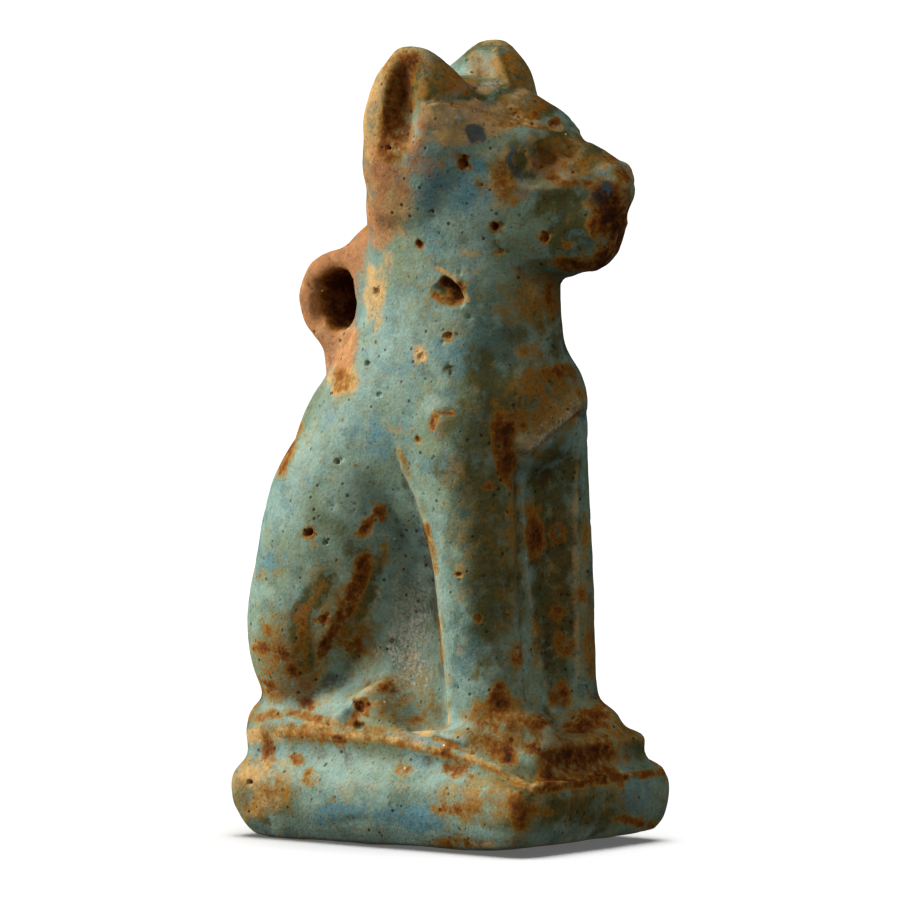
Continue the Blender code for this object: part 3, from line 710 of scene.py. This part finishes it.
# Stains by kind, each with its spots and its sides
STAINED_SPOTS = (
    ("rust", RUST_SPOTS, SEEN),
    ("tan", BOTH_SIDES_TAN, BOTH),
    ("tan", TAN_SPOTS, SEEN),
    ("brown", BOTH_SIDES_BROWN, BOTH),
    ("brown", BROWN_SPOTS, SEEN),
    ("olive", OLIVE_SPOTS, SEEN),
    ("blue", BLUE_SPOTS, SEEN),
    ("deep", DEEP_GLAZE_AND_SHADE_SPOTS, SEEN),
    ("ink", INK_SPOTS, SEEN),
    ("hollow", SHADE_AND_DIRT_SPOTS, SEEN),
    ("residue", RESIDUE_AND_HIGHLIGHT_SPOTS, SEEN),
)

# Lines finer than the skin's cells, each with the pixels to either side that get finer faces
FINE_LINES = ((BROW, 6), (CHIP_EDGE, 14), (FRONT_STEP, 5), (PAW_CREVICE, 5))


def fine_marks(skin, widening):
    """Which points lie near a mark that is finer than the skin's cells."""
    near = np.zeros(len(skin.points), bool)
    for path, reach in FINE_LINES:
        signed, fade = skin.line(path)
        near |= (np.abs(signed) < reach * widening) & (fade > 0)
    for column, row, half_width, half_height, *_ in PITS:
        reach = 1 + widening / 2
        near |= skin.oval(column, row, reach * half_width, reach * half_height) > 0
    return near


def split_faces(mesh, near):
    """Split the faces between the flagged points into four."""
    work = bmesh.new()
    work.from_mesh(mesh)
    edges = [edge for edge in work.edges if all(near[vertex.index] for vertex in edge.verts)]
    bmesh.ops.subdivide_edges(work, edges=edges, cuts=1, use_grid_fill=True)
    work.to_mesh(mesh)
    work.free()
    mesh.shade_smooth()


def carve(skin, ledges, grooves, dents):
    """One part's relief, all of it laid on the same surface."""
    for tool, marks in ((skin.ledge, ledges), (skin.groove, grooves), (skin.dent, dents)):
        for mark in marks:
            tool(*mark)
    skin.refresh()


def chip(skin):
    """The three-cornered chip in the neck, steep on its right edge and open to the lower left."""
    signed, fade = skin.line(CHIP_EDGE)
    slope = np.clip(1 + signed / CHIP_WIDTH, 0, 1) ** CHIP_SLOPE
    inward = slope * smooth_step(0.5 - signed / CHIP_RIM)
    reach = skin.oval(*CHIP_SPOT)
    skin.push(-CHIP_DEPTH * inward * fade * smooth_step(reach * CHIP_FILL))


def bore_distance(skin):
    """How far each point is from the bore's middle line, in millimetres."""
    return np.hypot(skin.points[:, 1] - BORE_PLACE[0], skin.points[:, 2] - BORE_PLACE[1])


def narrow_bore(skin):
    """The far end of the bore, thick enough at the back that no light shows through."""
    across, along, _ = skin.points.T
    behind = (skin.normals[:, 1] < BORE_FACING) & (along > BORE_PLACE[0])
    back_wall = (bore_distance(skin) < BORE_REACH) & behind
    share = smooth_step((across - BORE_THICK_FROM) / BORE_THICK_LENGTH)
    skin.push(BORE_THICKENING * back_wall * share)


def pit(skin):
    """Pits seen in the photograph, and smaller ones strewn over the whole surface."""
    for column, row, half_width, half_height, depth, *tilt in PITS:
        half_width *= PIT_SHARE
        half_height *= PIT_SHARE
        skin.dent(column, row, half_width, half_height, depth, SEEN, *tilt)
    dice = random.Random(PIT_DRAWS)
    for _ in range(PIT_COUNT):
        middle = skin.points[dice.randrange(len(skin.points))]
        radius = dice.uniform(*PIT_RADIUS)
        away = np.linalg.norm(skin.points - middle, axis=1) / radius
        skin.push(-dice.uniform(*PIT_DEPTH) * smooth_step(1 - away))


def roughen(skin):
    """Lumps and dips of a hand-pressed, worn surface."""
    for height, size, seed in LUMPS:
        skin.push(height * noise_field(skin.points, size, seed))
    recess = sum(skin.oval(*RECESS, side=side) for side in BOTH)
    height = FINE_LUMP_HEIGHT + RECESS_LUMP_HEIGHT * np.clip(recess, 0, 1)
    skin.push(height * noise_field(skin.points, FINE_LUMP_SIZE, FINE_LUMP_SEED))


def curvature(skin, rounds):
    """How far each point stands out of its surroundings, in millimetres."""
    around = skin.points
    for _ in range(rounds):
        around = skin.spread(around)
    return ((skin.points - around) * skin.normals).sum(axis=1)


def ground_flat(skin):
    """Keep the skin from reaching below the ground."""
    low = CAD_BOX[0][2] / MM
    skin.points[:, 2] = np.maximum(skin.points[:, 2], low)


def lay_stains(skin):
    """Shares of each stain, and of painted shade and highlight, at each point of the skin."""
    for kind, marks, sides in STAINED_SPOTS:
        for column, row, half_width, half_height, strength, *tilt in marks:
            for side in sides:
                spot = skin.oval(column, row, half_width, half_height, *tilt, side=side)
                skin.stain(kind, strength * spot)
    for kind, half_width, strength, path in STAINED_LINES:
        signed, fade = skin.line(path)
        covered = smooth_step(LINE_EDGE - np.abs(signed) / half_width)
        skin.stain(kind, strength * covered * fade)
    hidden_stains(skin)
    # Wear lightens what stands out; painted shade with dirt darkens what lies back
    standing_out = curvature(skin, RELIEF_ROUNDS)
    skin.stain("wear", standing_out / FULL_RELIEF)
    skin.stain("hollow", -standing_out / FULL_RELIEF)
    # Painted shade inside the bore: its wall darkened with rust colour and with shade and dirt
    bore_wall = smooth_step((BORE_REACH - bore_distance(skin)) / BORE_RUST_AND_SHADE_BLEND)
    bore_wall = bore_wall * (np.abs(skin.points[:, 0]) < BORE_HALF_LENGTH)
    skin.stain("rust", bore_wall)
    skin.stain("hollow", bore_wall)


def hidden_stains(skin):
    """Stains of the same kinds on the sides that the photograph does not show."""
    dice = random.Random(HIDDEN_DRAWS)
    turned_away = np.nonzero(skin.normals @ np.array(BACK) < HIDDEN_FACING)[0]
    for kind, count, low, high in HIDDEN_STAINS:
        for _ in range(count):
            middle = skin.points[turned_away[dice.randrange(len(turned_away))]]
            stretch = np.array((1, 1, dice.uniform(*HIDDEN_STRETCH))) * dice.uniform(low, high)
            away = (((skin.points - middle) / stretch) ** 2).sum(axis=1)
            skin.stain(kind, dice.uniform(*HIDDEN_STRENGTH) * np.clip(1 - away, 0, 1))
    for height, half_height in NAPE_PATCHES:
        middle = np.array((0, NAPE_ALONG, height))
        away = (((skin.points - middle) / (*NAPE_REACH, half_height)) ** 2).sum(axis=1)
        skin.stain("brown", NAPE_STRENGTH * np.clip(1 - away, 0, 1) ** NAPE_SLOPE)


def store_stains(skin):
    """Keep the stains in the mesh, where the material finds them by their names."""
    for kind, amount in skin.stains.items():
        layer = skin.mesh.attributes.new(kind, "FLOAT", "POINT")
        layer.data.foreach_set("value", amount.astype(np.float32))


def make_skin():
    """The sculpted skin that stands for the solid."""
    thing = fine_copy("amulet_skin")
    for widening in SPLIT_WIDTHS:
        split_faces(thing.data, fine_marks(Skin(thing.data), widening))
    skin = Skin(thing.data)
    carve(skin, (), HEAD_GROOVES, HEAD_DENTS)
    carve(skin, BODY_LEDGES, BODY_GROOVES, BODY_DENTS)
    carve(skin, (), PLINTH_GROOVES, ())
    chip(skin)
    skin.dent(*BORE_MOUTH)
    narrow_bore(skin)
    roughen(skin)
    skin.refresh()
    pit(skin)
    ground_flat(skin)
    skin.refresh()
    lay_stains(skin)
    store_stains(skin)
    return thing


# Glaze and stains, as shares of red, green and blue light thrown back
PALE_GLAZE = (0.262, 0.380, 0.302)
GREEN_GLAZE = (0.20, 0.26, 0.155)
DEEP_GLAZE_AND_SHADE = (0.082, 0.145, 0.110)
# Deeper glaze, also the colour of painted shade
BLUE_GLAZE = (0.118, 0.252, 0.272)
INK = (0.042, 0.08, 0.092)
OLIVE_GLAZE = (0.075, 0.066, 0.013)
YELLOWING = (0.28, 0.23, 0.075)
TAN_BODY = (0.54, 0.325, 0.115)
BROWN_BODY = (0.42, 0.175, 0.065)
OCHRE = (0.32, 0.14, 0.012)
RUST = (0.20, 0.050, 0.004)
# Dark rust, also the colour of painted shade with dirt
DARK_RUST_AND_SHADE = (0.042, 0.012, 0.003)
# Pale residue, also the colour of painted highlights
RESIDUE_AND_HIGHLIGHT = (0.52, 0.49, 0.37)
SPECK = (0.025, 0.012, 0.004)
FLECK = (0.75, 0.75, 0.70)
WHITE = (1.0, 1.0, 1.0)

# Coats over the pale glaze, each as colour, the values where it starts to show and where it
# shows in full, and the most that it hides
COATS = {
    "green": (GREEN_GLAZE, 0.42, 0.64, 1.0),
    # Deeper glaze, partly painted shade
    "deep": (DEEP_GLAZE_AND_SHADE, 0.0, 1.0, 0.9),
    "blue": (BLUE_GLAZE, 0.1, 1.0, 0.95),
    "yellow crumbs": (YELLOWING, 0.5, 0.72, 0.3),
    "yellow patches": (YELLOWING, 0.52, 0.66, 0.4),
    "yellow rims": (YELLOWING, 0.02, 0.3, 0.65),
    "olive": (OLIVE_GLAZE, 0.0, 1.0, 0.93),
    "tan": (TAN_BODY, 0.1, 0.9, 0.9),
    "brown": (BROWN_BODY, 0.1, 0.9, 0.9),
    "ochre": (OCHRE, 0.15, 0.6, 0.88),
    "rust": (RUST, 0.4, 0.95, 0.9),
    "dark rust": (DARK_RUST_AND_SHADE, 0.8, 1.6, 0.9),
    "ink": (INK, 0.2, 0.8, 0.85),
    # Pale residue, partly painted highlight
    "residue": (RESIDUE_AND_HIGHLIGHT, 0.6, 1.4, 0.75),
    # Painted shade with dirt
    "shade and dirt": (DARK_RUST_AND_SHADE, 0.3, 1.6, 0.6),
    "pepper": (SPECK, 0.6, 0.7, 0.6),
    "specks": (SPECK, 0.2, 0.1, 0.8),
    "flecks": (FLECK, 0.035, 0.02, 1.0),
}

# What noise and wear add where no stain is laid: where it starts, where it is full, strength
STRAYS = {
    "deep": (0.46, 0.66, 0.55),
    "blue": (0.52, 0.66, 0.5),
    "rust": (0.59, 0.73, 0.9),
    "olive": (0.5, 0.7, 0.45),
    "wear": (0.35, 1.6, 0.6),
}

# How much noise swells a stain at most, and how far off its middle value it does so in full
SWELLING = 2.4
CALM = {"rust": 0.14, "tan": 0.26, "brown": 0.26, "ink": 0.4}
OTHER_CALM = 0.18

# Noises, each as lump size in millimetres, detail, roughness and seed
CLOUDS = (5.0, 3, 0.55, 1)
BLUE_CLOUDS = (3.2, 4, 0.6, 9)
PATCHES = (2.4, 5, 0.65, 3)
RAGGED = (1.3, 8, 0.72, 5)
MOTTLE = (1.0, 6, 0.7, 2)
CRUMBS = (0.5, 5, 0.72, 6)
GRAIN = (0.2, 3, 0.6, 4)
POWDER = (0.2, 4, 0.7, 7)
PEPPER = (0.15, 2, 0.5, 8)
NOISE_STEP = (0.013, 0.0, 0.007)

# Strewn dots, each as spacing in millimetres and seed
SPECK_DOTS = (0.7, 2)
FLECK_DOTS = (2.4, 5)
DOT_STEP = (0.011, 0.017, 0.0)

# The values of a larger noise from which, and beyond which in full, finer marks show
RUSTY = (0.3, 0.6)
PEPPERED = (0.3, 0.6)
SPECKLED = (0.42, 0.56)

# Lighter and darker grain and mottle, each from these values to these shares
GRAIN_SHADE = (0.25, 0.75, 0.8, 1.2)
MOTTLE_SHADE = (0.3, 0.7, 0.72, 1.25)

# Surface: roughness of glaze and of bare body, shine, and what the bump is made of
GLAZE_ROUGHNESS = 0.42
BODY_ROUGHNESS = 0.75
GRAIN_ROUGHNESS = 0.3
SHINE = 0.1
GRAIN_HEIGHT = 0.5
CRUMB_HEIGHT = 0.7
SPECK_DEPTH = 0.6
CRUST_HEIGHT = 0.6
BUMP_STRENGTH = 0.55
BUMP_DISTANCE = 0.1


class Wiring:
    """Adds nodes to a material and joins them."""

    def __init__(self, material):
        material.use_nodes = True
        self.tree = material.node_tree
        self.shader = self.tree.nodes["Principled BSDF"]

    def set(self, socket, value):
        """Link a socket to another node's, or give it a constant."""
        if isinstance(value, bpy.types.NodeSocket):
            self.tree.links.new(value, socket)
        elif isinstance(value, tuple) and len(value) == 3 and socket.type == "RGBA":
            socket.default_value = value + (1,)
        else:
            socket.default_value = value

    def node(self, kind, values=None, **settings):
        """A new node with these settings and these values at its sockets."""
        made = self.tree.nodes.new(kind)
        for name, value in settings.items():
            setattr(made, name, value)
        for name, value in (values or {}).items():
            self.set(made.inputs[name], value)
        return made

    def moved_place(self, seed, step):
        """Places on the object, moved by so many steps."""
        place = self.node("ShaderNodeTexCoord").outputs["Object"]
        shift = tuple(seed * part for part in step)
        return self.node("ShaderNodeVectorMath", {0: place, 1: shift}).outputs[0]

    def noise(self, size, detail, roughness, seed):
        """Noise from 0 to 1 whose lumps are size millimetres across."""
        return self.node("ShaderNodeTexNoise", {
            "Vector": self.moved_place(seed, NOISE_STEP), "Scale": 1 / (size * MM),
            "Detail": detail, "Roughness": roughness,
        }).outputs[0]

    def dots(self, size, seed):
        """Distance, in dot spacings, to the nearest of points strewn size millimetres apart."""
        return self.node("ShaderNodeTexVoronoi", {
            "Vector": self.moved_place(seed, DOT_STEP), "Scale": 1 / (size * MM),
        }).outputs["Distance"]

    def math(self, operation, first, second):
        return self.node("ShaderNodeMath", {0: first, 1: second}, operation=operation).outputs[0]

    def between(self, value, low, high):
        """0 below low and 1 above high, or the other way round, with a soft change."""
        return self.node("ShaderNodeMapRange", {
            "Value": value, "From Min": low, "From Max": high,
        }, interpolation_type="SMOOTHSTEP").outputs[0]

    def stretch(self, value, low, high, first, last):
        """Values from low to high spread over first to last."""
        return self.node("ShaderNodeMapRange", {
            "Value": value, "From Min": low, "From Max": high, "To Min": first, "To Max": last,
        }).outputs[0]

    def scaled(self, value, share):
        return self.math("MULTIPLY", value, share)

    def more(self, first, second):
        return self.math("MAXIMUM", first, second)

    def blend(self, share, first, second):
        """The first colour, with this share of it replaced by the second."""
        return self.node("ShaderNodeMix", {0: share, 6: first, 7: second},
                         data_type="RGBA").outputs[2]

    def coat(self, under, name, value, stray=None, within=None):
        """The colour with a coat of the table laid over it, and the coat's share."""
        colour, low, high, most = COATS[name]
        share = self.between(value, low, high)
        if stray is not None:
            share = self.more(share, stray)
        if within is not None:
            share = self.scaled(share, within)
        return self.blend(self.scaled(share, most), under, colour), share

    def stray(self, name, value):
        """The share that a noise or wear adds to a stain."""
        low, high, strength = STRAYS[name]
        return self.scaled(self.between(value, low, high), strength)

    def stain(self, kind, breaker):
        """A stain's strength, swollen or eaten away by noise, more sharply where calm is small."""
        laid = self.node("ShaderNodeAttribute", attribute_name=kind).outputs["Fac"]
        calm = CALM.get(kind, OTHER_CALM)
        return self.scaled(laid, self.stretch(breaker, 0.5 - calm, 0.5 + calm, 0.0, SWELLING))


def glaze():
    """Satin blue-green glaze, mottled, stained with rust, worn down to a tan body, and painted
    with shade and highlights.
    """
    material = bpy.data.materials.new("aged_glaze")
    wiring = Wiring(material)
    clouds, patches, mottle, ragged, crumbs, grain = (
        wiring.noise(*kind) for kind in (CLOUDS, PATCHES, MOTTLE, RAGGED, CRUMBS, GRAIN))
    torn = wiring.scaled(wiring.math("ADD", ragged, crumbs), 0.5)
    stray_rust = wiring.scaled(wiring.stray("rust", crumbs), wiring.between(clouds, *RUSTY))
    rust = wiring.more(wiring.stain("rust", torn), stray_rust)

    colour, _ = wiring.coat(PALE_GLAZE, "green", clouds)
    # Deeper glaze, partly painted shade on the shaded front and foreleg
    deep = wiring.stain("deep", patches)
    colour, _ = wiring.coat(colour, "deep", deep, wiring.stray("deep", patches))
    stray_blue = wiring.stray("blue", wiring.noise(*BLUE_CLOUDS))
    colour, _ = wiring.coat(colour, "blue", wiring.stain("blue", patches), stray_blue)
    colour, _ = wiring.coat(colour, "yellow crumbs", crumbs)
    colour, _ = wiring.coat(colour, "yellow patches", ragged)
    colour, _ = wiring.coat(colour, "yellow rims", rust)
    olive = wiring.stain("olive", mottle)
    colour, _ = wiring.coat(colour, "olive", olive, wiring.stray("olive", mottle))
    worn = wiring.stray("wear", wiring.stain("wear", ragged))
    colour, tan = wiring.coat(colour, "tan", wiring.stain("tan", mottle), worn)
    colour, brown = wiring.coat(colour, "brown", wiring.stain("brown", ragged))
    colour, stained = wiring.coat(colour, "ochre", rust)
    colour, _ = wiring.coat(colour, "rust", rust)
    colour, _ = wiring.coat(colour, "dark rust", rust)
    colour, _ = wiring.coat(colour, "ink", wiring.stain("ink", crumbs))
    powder = wiring.noise(*POWDER)
    # Pale residue, partly painted highlight on lit edges
    colour, crust_and_highlight = wiring.coat(colour, "residue", wiring.stain("residue", powder))
    # Painted shade with dirt in hollows, in the bore and on the shaded front
    colour, _ = wiring.coat(colour, "shade and dirt", wiring.stain("hollow", mottle))
    peppered = wiring.between(patches, *PEPPERED)
    colour, _ = wiring.coat(colour, "pepper", wiring.noise(*PEPPER), within=peppered)
    speckled = wiring.between(mottle, *SPECKLED)
    colour, speck = wiring.coat(colour, "specks", wiring.dots(*SPECK_DOTS), within=speckled)
    colour, _ = wiring.coat(colour, "flecks", wiring.dots(*FLECK_DOTS))
    shade = wiring.scaled(wiring.stretch(grain, *GRAIN_SHADE),
                          wiring.stretch(mottle, *MOTTLE_SHADE))
    colour = wiring.node("ShaderNodeVectorMath", {0: colour, "Scale": shade},
                         operation="SCALE").outputs[0]
    wiring.set(wiring.shader.inputs["Base Color"], colour)

    bare = wiring.more(wiring.more(tan, brown), stained)
    rough = wiring.math("ADD", bare, wiring.scaled(grain, GRAIN_ROUGHNESS))
    rough = wiring.stretch(rough, 0, 1, GLAZE_ROUGHNESS, BODY_ROUGHNESS)
    wiring.set(wiring.shader.inputs["Roughness"], rough)
    wiring.set(wiring.shader.inputs["Specular IOR Level"], SHINE)

    height = wiring.math("ADD", wiring.scaled(grain, GRAIN_HEIGHT),
                         wiring.scaled(crumbs, CRUMB_HEIGHT))
    height = wiring.math("SUBTRACT", height, wiring.scaled(speck, SPECK_DEPTH))
    height = wiring.math("ADD", height, wiring.scaled(crust_and_highlight, CRUST_HEIGHT))
    bump = wiring.node("ShaderNodeBump", {"Height": height, "Strength": BUMP_STRENGTH,
                                          "Distance": BUMP_DISTANCE * MM})
    wiring.set(wiring.shader.inputs["Normal"], bump.outputs[0])
    return material


def make_floor():
    """A wide pale floor that takes the soft shadow and throws no light back."""
    mesh = bpy.data.meshes.new("floor")
    reach = FLOOR_REACH
    low = CAD_BOX[0][2]
    mesh.from_pydata([(-reach, -reach, low), (reach, -reach, low), (reach, reach, low),
                      (-reach, reach, low)], [], [(0, 1, 2, 3)])
    floor = bpy.data.objects.new("floor", mesh)
    bpy.context.scene.collection.objects.link(floor)
    material = bpy.data.materials.new("pale_floor")
    wiring = Wiring(material)
    for socket, value in (("Base Color", FLOOR_COLOUR), ("Roughness", FLOOR_ROUGHNESS),
                          ("Emission Color", WHITE), ("Emission Strength", FLOOR_GLOW)):
        wiring.set(wiring.shader.inputs[socket], value)
    floor.data.materials.append(material)
    floor.visible_diffuse = False
    floor.visible_glossy = False
    return floor


def make_sun(name, shares, softness, strength, receivers, glints):
    """A soft far lamp in the direction given by shares, lighting one collection only."""
    to_right, to_camera, upward = shares
    level_back = Vector((BACK.x, BACK.y, 0)).normalized()
    direction = (RIGHT * to_right + level_back * to_camera + Vector((0, 0, upward))).normalized()
    lamp = bpy.data.objects.new(name, bpy.data.lights.new(name, "SUN"))
    lamp.data.angle = math.radians(softness)
    lamp.data.energy = strength
    lamp.rotation_euler = direction.to_track_quat("Z", "Y").to_euler()
    lamp.visible_glossy = glints
    bpy.context.scene.collection.objects.link(lamp)
    lamp.light_linking.receiver_collection = receivers


def make_camera():
    """The camera at the photograph's angle, framed as the photograph is."""
    camera = bpy.data.objects.new("camera", bpy.data.cameras.new("camera"))
    camera.location = EYE
    camera.rotation_euler = BACK.to_track_quat("Z", "Y").to_euler()
    camera.data.sensor_width = SENSOR_WIDTH
    camera.data.lens = SENSOR_WIDTH * FOCAL_PIXELS / PICTURE_SIZE
    bpy.context.scene.collection.objects.link(camera)
    bpy.context.scene.camera = camera


def make_studio(subject):
    """The floor, the lamps, each for the subject or the floor alone, and a weak white sky."""
    lit = {}
    for name, thing in (("subject", subject), ("floor", make_floor())):
        lit[name] = bpy.data.collections.new("lit_" + name)
        lit[name].objects.link(thing)
    for name, shares, softness, strength, receiver, glints in LAMPS:
        make_sun(name, shares, softness, strength, lit[receiver], glints)
    world = bpy.data.worlds.new("studio")
    world.use_nodes = True
    sky = world.node_tree.nodes["Background"]
    sky.inputs["Color"].default_value = WHITE + (1,)
    sky.inputs["Strength"].default_value = SKY_STRENGTH
    bpy.context.scene.world = world
    bpy.context.scene.view_settings.view_transform = "Standard"


make_camera()
amulet = make_skin()
make_studio(amulet)
amulet.data.materials.clear()
amulet.data.materials.append(glaze())
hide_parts("cat_amulet")
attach(amulet, "root")
